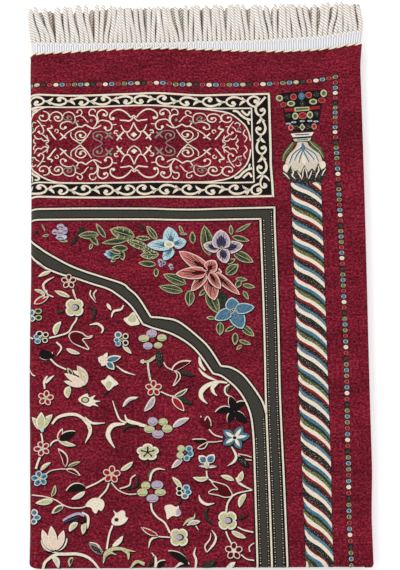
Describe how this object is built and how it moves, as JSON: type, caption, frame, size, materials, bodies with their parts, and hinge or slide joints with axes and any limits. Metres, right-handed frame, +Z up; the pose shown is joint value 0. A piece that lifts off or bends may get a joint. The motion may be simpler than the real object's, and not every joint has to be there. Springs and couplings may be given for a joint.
{
  "type": "folded prayer rug",
  "caption": "Woven chenille prayer rug folded crosswise and then lengthwise, pattern outward, with a sewn fringe at each end; it lies flat on a surface.",
  "frame": {"origin": "middle of the folded rug's footprint, on the surface that it lies on", "axes": "+X from the lengthwise fold to the selvedges, +Y from the crosswise fold to the fringes, +Z up, out of the layer that shows"},
  "size_m": [0.3478, 0.6064, 0.0208],
  "materials": {
    "chenille": "crimson chenille weave with woven figures in cream, grey, green and blue, matt with a soft nap",
    "fringe_yarn": "off-white twisted cotton strands on a ribbed woven tape, matt"
  },
  "bodies": {
    "root": {"rug": "chenille", "fringe_top": "fringe_yarn", "fringe_inner": "fringe_yarn"}
  },
  "joints": []
}
